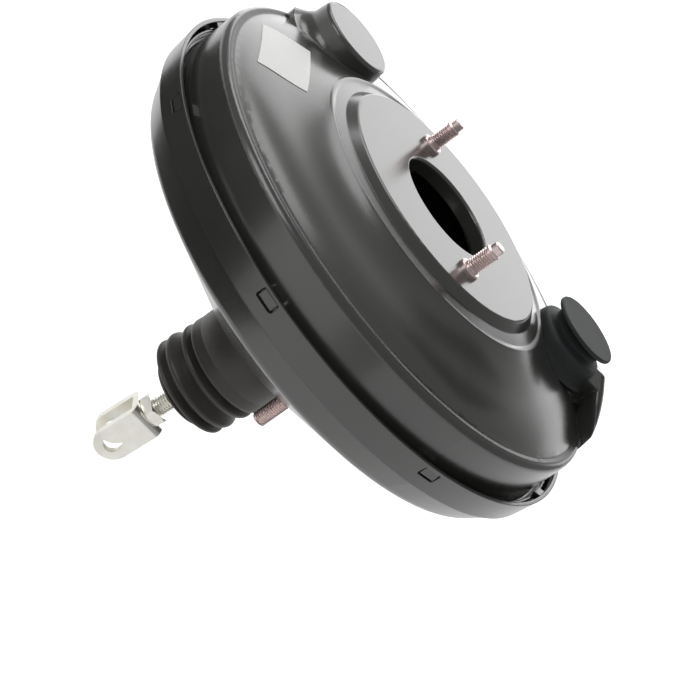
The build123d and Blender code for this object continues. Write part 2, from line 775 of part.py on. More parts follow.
along_pin = polar(1, CLEVIS_TURN) + (0,)
across_pin = polar(1, CLEVIS_TURN + 90) + (0,)
with BuildPart() as clevis:
    # U of bent plate, seen along the arms' width
    with BuildSketch(Plane(origin=(0, 0, 0), x_dir=along_pin, z_dir=polar(1, CLEVIS_TURN - 90) + (0,))):
        with BuildLine():
            half = CLEVIS_GAP / 2 + CLEVIS_PLATE / 2
            FilletPolyline(
                (-half, CLEVIS_END_Z),
                (-half, CLEVIS_BACK_Z - CLEVIS_PLATE / 2),
                (half, CLEVIS_BACK_Z - CLEVIS_PLATE / 2),
                (half, CLEVIS_END_Z),
                radius=CLEVIS_PLATE / 2 + 1.2,
            )
        trace(line_width=CLEVIS_PLATE)
    extrude(amount=CLEVIS_WIDTH / 2, both=True)
    # rounded arm ends, pin hole and the tapped hole in the back
    with BuildSketch(Plane(origin=(0, 0, 0), x_dir=across_pin, z_dir=along_pin)):
        with Locations((0, (PIN_Z + CLEVIS_BACK_Z) / 2 + 1.0)):
            Rectangle(CLEVIS_WIDTH, CLEVIS_BACK_Z - PIN_Z + 2.0)
        with Locations((0, PIN_Z)):
            Circle(CLEVIS_WIDTH / 2)
            Circle(PIN_HOLE_R, mode=Mode.SUBTRACT)
    extrude(amount=20.0, both=True, mode=Mode.INTERSECT)
    with BuildSketch(Plane.XY.offset(CLEVIS_BACK_Z + 1.0)):
        Circle(ROD_IN_R)
    extrude(amount=-CLEVIS_PLATE - 2.0, mode=Mode.SUBTRACT)
save(hung(clevis.part), "clevis")


# ---- vacuum port ----------------------------------------------------------------------------
with BuildPart() as grommet:
    turned(
        (PORT_HOLE_R - 1.2, 102.0),
        (PORT_HOLE_R + 0.6, 102.0),
        (PORT_HOLE_R + 2.0, 103.6),
        (PORT_HOLE_R + 2.0, BOSS_TOP_Z - SHEET),
        (PORT_HOLE_R, BOSS_TOP_Z - SHEET),
        (PORT_HOLE_R, BOSS_TOP_Z),
        (PORT_HOLE_R + 3.0, BOSS_TOP_Z),
        (PORT_HOLE_R + 3.0, BOSS_TOP_Z + 1.6),
        (PORT_HOLE_R + 2.2, BOSS_TOP_Z + 2.4),
        (PORT_HOLE_R - 1.2, BOSS_TOP_Z + 2.4),
    )
with BuildPart() as vacuum_port_grommet:
    with Locations(polar(*PORT_BOSS)):
        add(grommet.part)
save(vacuum_port_grommet.part, "vacuum_port_grommet")

with BuildPart() as cap:
    with BuildSketch(Plane.XZ):
        with BuildLine():
            Polyline(
                (CAP_STEM_R, CAP_STEM_Z),
                (CAP_STEM_R, 112.0),
                (12.6, 112.0),
                (13.4, BOSS_TOP_Z + RUN),
                (CAP_SKIRT_R, BOSS_TOP_Z + RUN),
                (CAP_SKIRT_R, 109.8),
            )
            ThreePointArc((CAP_SKIRT_R, 109.8), (CAP_SKIRT_R + 1.2, 112.7), (CAP_R - 0.3, 114.5))
            Polyline(
                (CAP_R - 0.3, 114.5),
                (CAP_R, 114.8),
                (CAP_R, CAP_TOP_Z - 0.6),
                (CAP_R - 0.6, CAP_TOP_Z),
                (0, CAP_TOP_Z),
                (0, 114.2),
                (CAP_STEM_R - 1.6, 114.2),
                (CAP_STEM_R - 1.6, CAP_STEM_Z),
                (CAP_STEM_R, CAP_STEM_Z),
            )
        make_face()
    revolve(axis=Axis.Z)
with BuildPart() as port_cap:
    with Locations(polar(*PORT_BOSS)):
        add(cap.part)
save(port_cap.part, "port_cap")
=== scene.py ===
"""Looks of a single-diaphragm vacuum brake booster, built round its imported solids. Units are
metres. Outlines are written in millimetres and scaled by MM."""
import math

import bpy
import numpy as np
from mathutils import Matrix, Vector


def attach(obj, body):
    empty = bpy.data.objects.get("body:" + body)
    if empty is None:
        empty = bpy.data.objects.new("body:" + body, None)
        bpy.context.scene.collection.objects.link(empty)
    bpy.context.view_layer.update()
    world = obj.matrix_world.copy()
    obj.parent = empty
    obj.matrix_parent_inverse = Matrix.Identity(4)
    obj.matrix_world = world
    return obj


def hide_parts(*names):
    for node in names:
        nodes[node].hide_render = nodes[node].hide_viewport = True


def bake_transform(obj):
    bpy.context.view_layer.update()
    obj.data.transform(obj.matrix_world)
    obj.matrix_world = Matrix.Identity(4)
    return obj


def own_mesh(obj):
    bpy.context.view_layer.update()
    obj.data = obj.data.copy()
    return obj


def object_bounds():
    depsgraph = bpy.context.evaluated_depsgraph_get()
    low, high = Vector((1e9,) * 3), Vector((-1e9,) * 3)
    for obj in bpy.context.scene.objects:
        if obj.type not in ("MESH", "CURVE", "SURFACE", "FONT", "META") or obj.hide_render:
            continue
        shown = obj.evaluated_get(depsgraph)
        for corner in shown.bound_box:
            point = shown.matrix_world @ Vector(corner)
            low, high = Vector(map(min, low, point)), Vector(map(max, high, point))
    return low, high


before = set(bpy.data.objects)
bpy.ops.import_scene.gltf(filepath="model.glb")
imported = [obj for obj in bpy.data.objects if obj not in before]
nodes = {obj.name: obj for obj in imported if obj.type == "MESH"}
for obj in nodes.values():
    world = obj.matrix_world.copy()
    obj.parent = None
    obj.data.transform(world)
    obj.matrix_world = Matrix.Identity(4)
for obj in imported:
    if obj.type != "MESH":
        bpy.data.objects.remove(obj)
cad_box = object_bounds()

# ---- camera ---------------------------------------------------------------------------------
# A long lens looking down on the front shell, rolled so that the booster's axis rises to the
# right of the picture.
AXIS_TO_VIEW = math.radians(68.55)
AXIS_RISE = math.radians(35.48)
AXIS_TURN = math.radians(48.5)
LENS_MM = 102.86
SENSOR_MM = 36.0
AIM_HEIGHT = 0.068
EYE_LEFT, EYE_BELOW, EYE_BACK = 0.0150, 0.0453, 0.955

# The camera's directions in the booster's frame, from the angle between the axis and the line of
# sight, the axis's rise in the picture and the turn about the axis.
axis = np.array([0.0, 0.0, 1.0])
sideways = np.array([math.cos(AXIS_TURN), math.sin(AXIS_TURN), 0.0])
towards = np.array([math.sin(AXIS_TURN), -math.cos(AXIS_TURN), 0.0])
right = (math.sin(AXIS_TO_VIEW) * math.cos(AXIS_RISE) * axis + math.sin(AXIS_RISE) * sideways
         - math.cos(AXIS_RISE) * math.cos(AXIS_TO_VIEW) * towards)
up = (math.sin(AXIS_TO_VIEW) * math.sin(AXIS_RISE) * axis - math.cos(AXIS_RISE) * sideways
      - math.sin(AXIS_RISE) * math.cos(AXIS_TO_VIEW) * towards)
back = math.cos(AXIS_TO_VIEW) * axis + math.sin(AXIS_TO_VIEW) * towards

eye = AIM_HEIGHT * axis - EYE_LEFT * right - EYE_BELOW * up + EYE_BACK * back
camera_data = bpy.data.cameras.new("camera")
camera_data.lens = LENS_MM
camera_data.sensor_width = SENSOR_MM
camera_data.clip_start = 0.05
camera_data.clip_end = 20.0
camera = bpy.data.objects.new("camera", camera_data)
bpy.context.collection.objects.link(camera)
turn = Matrix((right, up, back)).transposed().to_4x4()
camera.matrix_world = Matrix.Translation(Vector(eye)) @ turn
bpy.context.scene.camera = camera


# ---- front shell and rear shell -------------------------------------------------------------
# Two pressed steel shells, dipped in a black semi-gloss paint after the front one has been
# locked into the rear one by the lances round its skirt.
PAINT_COLOUR = (0.040, 0.042, 0.037)
PAINT_ROUGH = 0.22
PAINT_IOR = 1.75
COAT_WEIGHT, COAT_ROUGH = 0.3, 0.15
EDGE_ROUNDING = 0.0009
RING_SCALE = 260.0
RING_STRENGTH = 0.04
# Where the groove at the dome's foot lies, and the lowered specular and coat that paint shade into
# it.
GROOVE_R, GROOVE_HALF_WIDTH = 0.1274, 0.0024
GROOVE_SHADE_SPECULAR, GROOVE_SHADE_COAT = 0.08, 0.0
MOTTLE_SPAN = (0.3, 0.75)
GLOSS_SPAN = (0.88, 1.15)


def finish(name, colour, rough, metallic=0.0, contrast=0.2, scale=40.0, grain=600.0, depth=0.00005):
    """Material with a mottle in colour and gloss and a fine grain in the bump. The colour goes
    from 1 - contrast to 1 + contrast times the one given as the mottle's noise rises through
    MOTTLE_SPAN, and the roughness through GLOSS_SPAN times the one given."""
    material = bpy.data.materials.new(name)
    material.use_nodes = True
    tree = material.node_tree
    shader = tree.nodes["Principled BSDF"]
    shader.inputs["Metallic"].default_value = metallic
    place = tree.nodes.new("ShaderNodeTexCoord")
    mottle = tree.nodes.new("ShaderNodeTexNoise")
    mottle.inputs["Scale"].default_value = scale
    mottle.inputs["Detail"].default_value = 5.0
    tree.links.new(place.outputs["Object"], mottle.inputs["Vector"])
    tone = tree.nodes.new("ShaderNodeValToRGB")
    dark, pale = tone.color_ramp.elements
    dark.position, pale.position = MOTTLE_SPAN
    dark.color = (*[c * (1 - contrast) for c in colour], 1)
    pale.color = (*[min(1.0, c * (1 + contrast)) for c in colour], 1)
    tree.links.new(mottle.outputs["Fac"], tone.inputs["Fac"])
    tree.links.new(tone.outputs["Color"], shader.inputs["Base Color"])
    gloss = tree.nodes.new("ShaderNodeMapRange")
    gloss.inputs["To Min"].default_value = rough * GLOSS_SPAN[0]
    gloss.inputs["To Max"].default_value = rough * GLOSS_SPAN[1]
    tree.links.new(mottle.outputs["Fac"], gloss.inputs["Value"])
    tree.links.new(gloss.outputs["Result"], shader.inputs["Roughness"])
    fine = tree.nodes.new("ShaderNodeTexNoise")
    fine.inputs["Scale"].default_value = grain
    fine.inputs["Detail"].default_value = 2.0
    tree.links.new(place.outputs["Object"], fine.inputs["Vector"])
    bump = tree.nodes.new("ShaderNodeBump")
    bump.inputs["Strength"].default_value = 0.5
    bump.inputs["Distance"].default_value = depth
    tree.links.new(fine.outputs["Fac"], bump.inputs["Height"])
    tree.links.new(bump.outputs["Normal"], shader.inputs["Normal"])
    return material


def drawing_rings(material):
    """The fine rings left by drawing: noise that changes only with the distance from the axis and
    with height, times RING_STRENGTH, is added to the roughness."""
    tree = material.node_tree
    shader = tree.nodes["Principled BSDF"]
    place = tree.nodes["Texture Coordinate"]
    split = tree.nodes.new("ShaderNodeSeparateXYZ")
    tree.links.new(place.outputs["Object"], split.inputs["Vector"])
    flat = tree.nodes.new("ShaderNodeCombineXYZ")
    tree.links.new(split.outputs["X"], flat.inputs["X"])
    tree.links.new(split.outputs["Y"], flat.inputs["Y"])
    radius = tree.nodes.new("ShaderNodeVectorMath")
    radius.operation = "LENGTH"
    tree.links.new(flat.outputs["Vector"], radius.inputs[0])
    ring_place = tree.nodes.new("ShaderNodeCombineXYZ")
    tree.links.new(radius.outputs["Value"], ring_place.inputs["X"])
    tree.links.new(split.outputs["Z"], ring_place.inputs["Y"])
    rings = tree.nodes.new("ShaderNodeTexNoise")
    rings.inputs["Scale"].default_value = RING_SCALE
    rings.inputs["Detail"].default_value = 3.0
    tree.links.new(ring_place.outputs["Vector"], rings.inputs["Vector"])
    ringed = tree.nodes.new("ShaderNodeMath")
    ringed.operation = "MULTIPLY_ADD"
    ringed.inputs[1].default_value = RING_STRENGTH
    tree.links.new(rings.outputs["Fac"], ringed.inputs[0])
    tree.links.new(tree.nodes["Map Range"].outputs["Result"], ringed.inputs[2])
    tree.links.new(ringed.outputs["Value"], shader.inputs["Roughness"])


def painted(name):
    """Dipped semi-gloss paint over drawing rings, rounded a little at the sheet's edges."""
    paint = finish(name, PAINT_COLOUR, PAINT_ROUGH, contrast=0.15, scale=22.0, grain=700.0,
                   depth=0.000015)
    drawing_rings(paint)
    tree = paint.node_tree
    shader = tree.nodes["Principled BSDF"]
    shader.inputs["IOR"].default_value = PAINT_IOR
    shader.inputs["Coat Weight"].default_value = COAT_WEIGHT
    shader.inputs["Coat Roughness"].default_value = COAT_ROUGH
    rounding = tree.nodes.new("ShaderNodeBevel")
    rounding.samples = 8
    rounding.inputs["Radius"].default_value = EDGE_ROUNDING
    tree.links.new(rounding.outputs["Normal"], tree.nodes["Bump"].inputs["Normal"])
    return paint


def groove_painted_shade(paint):
    """Painted shade in the groove at the dome's foot: the sheen falls by a smooth step from
    GROOVE_HALF_WIDTH to half of it away from GROOVE_R, so that the groove shows dark as if in
    shade."""
    tree = paint.node_tree
    shader = tree.nodes["Principled BSDF"]
    off_middle = tree.nodes.new("ShaderNodeMath")
    off_middle.operation = "SUBTRACT"
    off_middle.inputs[1].default_value = GROOVE_R
    tree.links.new(tree.nodes["Vector Math"].outputs["Value"], off_middle.inputs[0])
    distance = tree.nodes.new("ShaderNodeMath")
    distance.operation = "ABSOLUTE"
    tree.links.new(off_middle.outputs["Value"], distance.inputs[0])
    for socket, dull in (("Specular IOR Level", GROOVE_SHADE_SPECULAR), ("Coat Weight", GROOVE_SHADE_COAT)):
        sheen = tree.nodes.new("ShaderNodeMapRange")
        sheen.interpolation_type = "SMOOTHSTEP"
        sheen.inputs["From Min"].default_value = GROOVE_HALF_WIDTH / 2
        sheen.inputs["From Max"].default_value = GROOVE_HALF_WIDTH
        sheen.inputs["To Min"].default_value = dull
        sheen.inputs["To Max"].default_value = shader.inputs[socket].default_value
        tree.links.new(distance.outputs["Value"], sheen.inputs["Value"])
        tree.links.new(sheen.outputs["Result"], shader.inputs[socket])


front_paint = painted("front_paint")
# Painted shade: the sheen is taken out of the groove at the dome's foot, so that it shows dark.
groove_painted_shade(front_paint)
rear_paint = painted("rear_paint")


def dress(node, material):
    """Give a solid of the frame its finish."""
    for slot in nodes[node].material_slots:
        slot.material = material


dress("front_shell", front_paint)
dress("rear_shell", rear_paint)


# ---- paper label ----------------------------------------------------------------------------
# A blank paper label stuck on the dome between the plain boss and the edge. It follows the
# dome's curve.
MM = 0.001
LABEL_CORNERS = ((120.4, 234.8), (97.8, 226.7), (89.1, 257.4), (115.3, 257.6))
LABEL_LIFT = 0.12
LABEL_GRID = (25, 41)
PAPER_THICK = 0.12
DOME_DEGREE = 5
DOME_RADII = (78.6, 88.3, 98.0, 110.0, 119.4, 124.6)
DOME_HEIGHTS = (103.7, 99.5, 96.8, 94.2, 91.3, 89.1)


def skin(name, shape, material, body, node=None):
    """Mesh object from points in millimetres and the corners of its quads and triangles. It rides
    on the body, or on none if it is to be blended between two, and stands for a node of the frame
    if one is named."""
    points, quads, triangles = shape
    mesh = bpy.data.meshes.new(name)
    corners = np.concatenate((quads.ravel(), triangles.ravel())).astype(np.int32)
    starts = np.concatenate((4 * np.arange(len(quads)), quads.size + 3 * np.arange(len(triangles))))
    mesh.vertices.add(len(points))
    mesh.vertices.foreach_set("co", (np.asarray(points) * MM).astype(np.float32).ravel())
    mesh.loops.add(len(corners))
    mesh.loops.foreach_set("vertex_index", corners)
    mesh.polygons.add(len(starts))
    mesh.polygons.foreach_set("loop_start", starts.astype(np.int32))
    mesh.update(calc_edges=True)
    mesh.materials.append(material)
    piece = bpy.data.objects.new(name, mesh)
    bpy.context.collection.objects.link(piece)
    if body:
        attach(piece, body)
    if node:
        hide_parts(node)
    return piece


def smooth(piece, degrees=35.0):
    """Round shading, with edges sharper than the angle kept."""
    piece.data.shade_smooth()
    piece.data.set_sharp_from_angle(angle=math.radians(degrees))


def label_sheet(across, along):
    """Grid between the four corners. The height at a distance r from the axis is the lift plus
    the fifth-degree polynomial of r that passes through the dome's six points. The back is the
    same grid one sheet lower, and a band of quads joins their edges."""
    radii, angles = np.array(LABEL_CORNERS).T
    corners = np.stack((radii * np.cos(np.radians(angles)), radii * np.sin(np.radians(angles))), 1)
    u, v = np.meshgrid(np.linspace(0, 1, across), np.linspace(0, 1, along), indexing="ij")
    u, v = u[..., None], v[..., None]
    flat = ((1 - u) * (1 - v) * corners[0] + u * (1 - v) * corners[1]
            + u * v * corners[2] + (1 - u) * v * corners[3])
    dome = np.polyfit(DOME_RADII, DOME_HEIGHTS, DOME_DEGREE)
    height = np.polyval(dome, np.hypot(flat[..., 0], flat[..., 1])) + LABEL_LIFT
    top = np.dstack((flat, height + PAPER_THICK)).reshape(-1, 3)
    bottom = np.dstack((flat, height)).reshape(-1, 3)
    index = np.arange(across * along).reshape(across, along)
    cell = np.stack((index[:-1, :-1], index[1:, :-1], index[1:, 1:], index[:-1, 1:]), -1)
    cell = cell.reshape(-1, 4)
    edge = np.concatenate((index[:, 0], index[-1, 1:], index[-2::-1, -1], index[0, -2:0:-1]))
    following = np.roll(edge, -1)
    back = across * along
    band = np.stack((edge, edge + back, following + back, following), 1)
    faces = np.vstack((cell, cell[:, ::-1] + back, band))
    return np.vstack((top, bottom)), faces, np.empty((0, 3), int)


paper = finish("label_paper", (0.97, 0.97, 0.95), 0.45, contrast=0.02, scale=90.0, grain=1500.0)
label = skin("paper_label", label_sheet(*LABEL_GRID), paper, "booster_housing")
smooth(label)


# ---- tie rods -------------------------------------------------------------------------------
# Two through rods with a rolled M8 thread at each end, a turned shoulder that fills the front
# shell's hole, and a dull zinc plate.
ROD_OFFSET = 45.0
ROD_SEGMENTS = 48
M8_THREADS = ((-18.9, -1.0, 1.25, 0.72), (112.0, 124.0, 1.25, 0.72))
M8_STEP = 0.12
CREST_SHARE, ROOT_SHARE = 0.125, 0.25
TIE_ROD = ((3.2, -19.5), (4.0, -18.7), (4.0, -0.4), (4.2, 0), (4.2, 4), (8, 4), (8, 6.4), (7.4, 7),
           (5, 7), (5, 102), (7.2, 102), (7.5, 102.3), (7.5, 105), (5.75, 105), (5.75, 110.9),
           (5.15, 111.5), (4, 111.5), (4, 124.2), (3, 125), (3, 127.9), (2.4, 128.5))


def stepped(outline, spans, step):
    """The outline with extra rows, step apart, wherever it runs up through one of the spans of
    heights."""
    outline = np.asarray(outline, float)
    rows = [outline[:1]]
    for start, end in zip(outline[:-1], outline[1:]):
        threaded = any(start[1] < high and end[1] > low for low, high, *_ in spans)
        count = max(1, math.ceil((end[1] - start[1]) / step)) if threaded else 1
        rows.append(start + (end - start) * np.linspace(0, 1, count + 1)[1:, None])
    return np.vstack(rows)


def turned(outline, segments=64, ring=False, threads=()):
    """Body of revolution from (radius, height) pairs, upwards on the outer side: a ring whose
    outline closes on itself, or a solid whose ends are capped. In a thread, given as (low, high,
    pitch, depth), the radius loses depth times g, where g is a trapezium of the phase
    height/pitch - angle/turn, flat for CREST_SHARE of the pitch at the crest and ROOT_SHARE at
    the root, and fades out over one pitch at each end."""
    outline = np.asarray(outline, float)
    angle = np.linspace(0, 2 * math.pi, segments, endpoint=False)
    radius = np.repeat(outline[:, :1], segments, 1)
    height = np.repeat(outline[:, 1:], segments, 1)
    for low, high, pitch, depth in threads:
        phase = (height / pitch - angle / (2 * math.pi)) % 1.0
        flank = 1 - CREST_SHARE - ROOT_SHARE
        groove = np.clip((1 - CREST_SHARE - np.abs(2 * phase - 1)) / flank, 0, 1)
        fade = np.clip(np.minimum(height - low, high - height) / pitch, 0, 1)
        radius = radius - depth * groove * fade
    points = np.stack((radius * np.cos(angle), radius * np.sin(angle), height), -1).reshape(-1, 3)
    return joined_rows(points, len(outline), segments, ring)


def joined_rows(points, rows, segments, ring):
    """Quads between rows of points that each close on themselves, and either quads from the last
    row to the first or a fan of triangles to a middle point at each end."""
    index = np.arange(rows * segments).reshape(rows, segments)
    if ring:
        index = np.vstack((index, index[:1]))
    beside = np.roll(index, -1, 1)
    quads = np.stack((index[:-1], beside[:-1], beside[1:], index[1:]), -1).reshape(-1, 4)
    if ring:
        return points, quads, np.empty((0, 3), int)
    low = np.full(segments, rows * segments)
    fans = np.vstack((np.stack((beside[0], index[0], low), 1),
                      np.stack((index[-1], beside[-1], low + 1), 1)))
    middles = np.stack((points[index[0]].mean(0), points[index[-1]].mean(0)))
    return np.vstack((points, middles)), quads, fans


def side_by_side(points, quads, triangles, offsets):
    """The same piece again at each offset along X, in one mesh."""
    count = len(points)
    shift = np.array([[offset, 0, 0] for offset in offsets])
    all_points = (points[None] + shift[:, None]).reshape(-1, 3)
    step = count * np.arange(len(offsets))[:, None, None]
    return (all_points, (quads[None] + step).reshape(-1, 4),
            (triangles[None] + step).reshape(-1, 3))


dull_zinc = finish("dull_zinc", (0.88, 0.72, 0.70), 0.32, metallic=1.0, contrast=0.18, scale=160.0,
                   grain=2500.0)
one_rod = turned(stepped(TIE_ROD, M8_THREADS, M8_STEP), ROD_SEGMENTS, threads=M8_THREADS)
tie_rods = skin("tie_rods_threaded", side_by_side(*one_rod, (ROD_OFFSET, -ROD_OFFSET)), dull_zinc,
                "booster_housing", "tie_rods")
smooth(tie_rods)


# ---- input rod, jam nut and clevis ----------------------------------------------------------
# The rod hangs to one side about its ball, with an M10 thread under the nut and the clevis, all
# bright zinc.
BALL_HEIGHT = -8.0
BALL_R = 4.5
BALL_NECK_R = 3.4
BALL_TOP = 0.48 * math.pi
BALL_ROWS = 20
ROD_TILT = math.radians(-4.5)
PIN_ANGLE = math.radians(-13.0)
M10_THREADS = ((-86.6, -65.0, 1.5, 0.85),)
M10_STEP = 0.15


def hung(points):
    """Points turned by the rod's tilt about the line through the ball that is parallel to the
    clevis pin (Rodrigues' formula)."""
    line = np.array([math.cos(PIN_ANGLE), math.sin(PIN_ANGLE), 0.0])
    arm = np.asarray(points, float) - (0, 0, BALL_HEIGHT)
    turned_arm = (arm * math.cos(ROD_TILT) + np.cross(line, arm) * math.sin(ROD_TILT)
                  + np.outer(arm @ line, line) * (1 - math.cos(ROD_TILT)))
    return turned_arm + (0, 0, BALL_HEIGHT)


bright_zinc = finish("bright_zinc", (0.97, 0.94, 0.86), 0.30, metallic=1.0, contrast=0.10,
                     scale=120.0, grain=1800.0)
ball_start = math.asin(-math.sqrt(BALL_R ** 2 - BALL_NECK_R ** 2) / BALL_R)
ball_angles = np.linspace(ball_start, BALL_TOP, BALL_ROWS)
ball = np.stack((BALL_R * np.cos(ball_angles), BALL_HEIGHT + BALL_R * np.sin(ball_angles)), 1)
INPUT_ROD = np.vstack((((4.2, -87), (5, -86.2), (5, -65), (5, -45.5), (10.4, -45.5), (10.4, -44),
                        (5, -44), (5, -17.5), (BALL_NECK_R, -14.5)), ball))
points, quads, fans = turned(stepped(INPUT_ROD, M10_THREADS, M10_STEP), ROD_SEGMENTS,
                             threads=M10_THREADS)
input_rod = skin("input_rod_threaded", (hung(points), quads, fans), bright_zinc, "push_rod",
                 "input_rod")
smooth(input_rod)
for node in ("jam_nut", "clevis"):
    dress(node, bright_zinc)


# ---- dust boot ------------------------------------------------------------------------------
# Moulded rubber bellows in three pieces: a sleeve that grips the neck, three soft folds that stay
# with the housing here, though on the booster they close up as the piston moves, and an end cap
# that goes with the rod. The folds' end and the cap follow spheres about the rod's ball, so that
# the cap slides over the folds as the rod tilts.
BOOT_WALL = 1.4
SLEEVE = ((23.7, -24.4), (24.2, -24.8), (27.2, -24.8), (27.5, -24.2), (27.5, -3.0), (27.2, -2.3),
          (25.6, -2.2), (25.55, -20.1), (23.7, -20.1))
FOLDS = ((26.7, -24.0), (26.9, -30.4), (26.2, -31.4), (22.4, -33.4), (26.3, -36.2), (26.2, -37.4),
         (22.2, -41.2), (26.3, -46.2), (26.2, -47.6), (22.4, -50.6), (26.0, -53.0), (25.7, -53.8),
         (24.2, -54.4))
FOLD_HOLE_R = 9.6
FOLD_SPHERE_R = 52.0
FOLD_SPHERE_PAST_CAP = 2.5
CAP_SPHERE_R = 53.6
CAP_WALL = 1.2
CAP_R = 19.2
CAP_OUTER_INSET, CAP_INNER_INSET = 0.5, 0.3
ROD_HOLE_R = 5.4
BEND_START, BEND_END = -24.0, -44.0
BOOT_SEGMENTS = 96
FOLD_ROWS, FOLD_BLUR = 240, 2


def eased(line, count, blur):
    """The line resampled evenly and averaged with a bell-shaped window, exp(-(i/blur)^2 / 2) at
    i samples from its middle and cut off at three blurs. The line is mirrored through each end,
    so that its ends are held."""
    line = np.asarray(line, float)
    length = np.concatenate(([0], np.cumsum(np.hypot(*np.diff(line, axis=0).T))))
    even = np.linspace(0, length[-1], count)
    fine = np.stack((np.interp(even, length, line[:, 0]), np.interp(even, length, line[:, 1])), 1)
    reach = 3 * blur
    window = np.exp(-0.5 * (np.arange(-reach, reach + 1) / blur) ** 2)
    window /= window.sum()
    padded = np.vstack((2 * fine[0] - fine[reach:0:-1], fine,
                        2 * fine[-1] - fine[-2:-reach - 2:-1]))
    return np.stack([np.convolve(padded[:, side], window, "valid") for side in (0, 1)], 1)


def walled(line, thick):
    """Closed outline of a wall of even thickness round the line, its outer side first."""
    along = np.gradient(line, axis=0)
    normal = np.stack((along[:, 1], -along[:, 0]), 1) / np.hypot(*along.T)[:, None]
    return np.vstack((line[::-1] - normal[::-1] * thick / 2, line + normal * thick / 2))


def bent(points):
    """Straight at the sleeve and hung with the rod from BEND_END down, by the smooth step
    3s^2 - 2s^3 between. On the end face the hanging fades again towards the hole, which stays
    midway between the rod's limits."""
    share = np.clip((BEND_START - points[:, 2:]) / (BEND_START - BEND_END), 0, 1)
    share = share * share * (3 - 2 * share)
    r = np.hypot(points[:, :1], points[:, 1:2])
    share = share * np.clip((r - FOLD_HOLE_R) / (CAP_R - FOLD_HOLE_R), 0, 1)
    return points + share * (hung(points) - points)


def sphere_line(radius, from_r, to_r, count=24):
    """Points of the lower half of the sphere of the given radius about the ball, by distance from
    the axis: z is the ball's height less the root of (the radius squared less that distance
    squared)."""
    r = np.linspace(from_r, to_r, count)
    return np.stack((r, BALL_HEIGHT - np.sqrt(radius ** 2 - r ** 2)), 1)


boot_rubber = finish("boot_rubber", (0.052, 0.048, 0.042), 0.40, contrast=0.35, scale=30.0,
                     grain=420.0, depth=0.00012)
sleeve = skin("boot_sleeve", turned(SLEEVE, ring=True), boot_rubber, "booster_housing", "dust_boot")
smooth(sleeve, 50.0)
fold_line = np.vstack((FOLDS, sphere_line(FOLD_SPHERE_R - BOOT_WALL / 2,
                                          CAP_R + FOLD_SPHERE_PAST_CAP, FOLD_HOLE_R)))
points, quads, fans = turned(walled(eased(fold_line, FOLD_ROWS, FOLD_BLUR), BOOT_WALL),
                             BOOT_SEGMENTS, ring=True)
folds = skin("boot_folds", (bent(points), quads, fans), boot_rubber, "booster_housing")
smooth(folds, 60.0)
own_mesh(folds)
cap_line = np.vstack((sphere_line(CAP_SPHERE_R + CAP_WALL, ROD_HOLE_R, CAP_R - CAP_OUTER_INSET),
                      sphere_line(CAP_SPHERE_R + CAP_WALL / 2, CAP_R, CAP_R, 1),
                      sphere_line(CAP_SPHERE_R, CAP_R - CAP_INNER_INSET, ROD_HOLE_R)))
points, quads, fans = turned(cap_line, BOOT_SEGMENTS, ring=True)
end_cap = skin("boot_end_cap", (hung(points), quads, fans), boot_rubber, "push_rod")
smooth(end_cap, 50.0)


# ---- vacuum port ----------------------------------------------------------------------------
# A rubber grommet in the port boss and the moulded transport cap that closes it, with a thin
# skirt that flares out from under the cap's disc.
PORT_PLACE = (22.38, 96.95, 0)
SKIRT_LINE = ((15.0, 109.2), (16.8, 108.2), (19.6, 107.5), (20.3, 106.4), (21.0, 100.6),
              (22.2, 97.6), (24.0, 95.9))
SKIRT_WALL = 0.5
SKIRT_ROWS, SKIRT_BLUR = 60, 2
SKIRT_SEGMENTS = 96
rubber = finish("rubber", (0.012, 0.012, 0.012), 0.75, contrast=0.25, scale=60.0, grain=900.0)
dress("vacuum_port_grommet", rubber)
cap_plastic = finish("cap_plastic", (0.022, 0.025, 0.026), 0.60, contrast=0.20, scale=70.0,
                     grain=700.0, depth=0.00008)
dress("port_cap", cap_plastic)
points, quads, fans = turned(walled(eased(SKIRT_LINE, SKIRT_ROWS, SKIRT_BLUR), SKIRT_WALL),
                             SKIRT_SEGMENTS, ring=True)
cap_skirt = skin("port_cap_skirt", (points + PORT_PLACE, quads, fans), cap_plastic,
                 "vacuum_port_cap")
smooth(cap_skirt, 50.0)


# ---- springs --------------------------------------------------------------------------------
# Oiled spring wire: the return spring between piston and front shell, the small one that holds
# the input rod back, and the poppet's.
SPRING_R = 33.0
SPRING_WIRE_R = 1.8
SPRING_LOW, SPRING_HIGH, SPRING_TURNS = 17.5, 105.0, 5.5
SPRING_ROWS = 400
SMALL_R = 9.7
SMALL_WIRE_R = 0.6
SMALL_LOW, SMALL_HIGH, SMALL_TURNS = -44.0, -32.8, 4.0
SMALL_ROWS = 220


def coil(mean_r, wire_r, low, high, turns, samples, sides=12):
    """Tube of the wire's radius about the helix (R cos t, R sin t, z), z in proportion to t from
    one wire radius above low to one below high, with its ends capped."""
    t = np.linspace(0, 2 * math.pi * turns, samples)
    rise = (high - low - 2 * wire_r) / (2 * math.pi * turns)
    middle = np.stack((mean_r * np.cos(t), mean_r * np.sin(t), low + wire_r + rise * t), 1)
    outward = np.stack((np.cos(t), np.sin(t), 0 * t), 1)
    along = np.stack((-mean_r * np.sin(t), mean_r * np.cos(t), 0 * t + rise), 1)
    across = np.cross(along, outward) / np.hypot(mean_r, rise)
    turn = np.linspace(0, 2 * math.pi, sides, endpoint=False)[None, :, None]
    rim = np.cos(turn) * outward[:, None] + np.sin(turn) * across[:, None]
    points = middle[:, None] + wire_r * rim
    return joined_rows(points.reshape(-1, 3), samples, sides, ring=False)


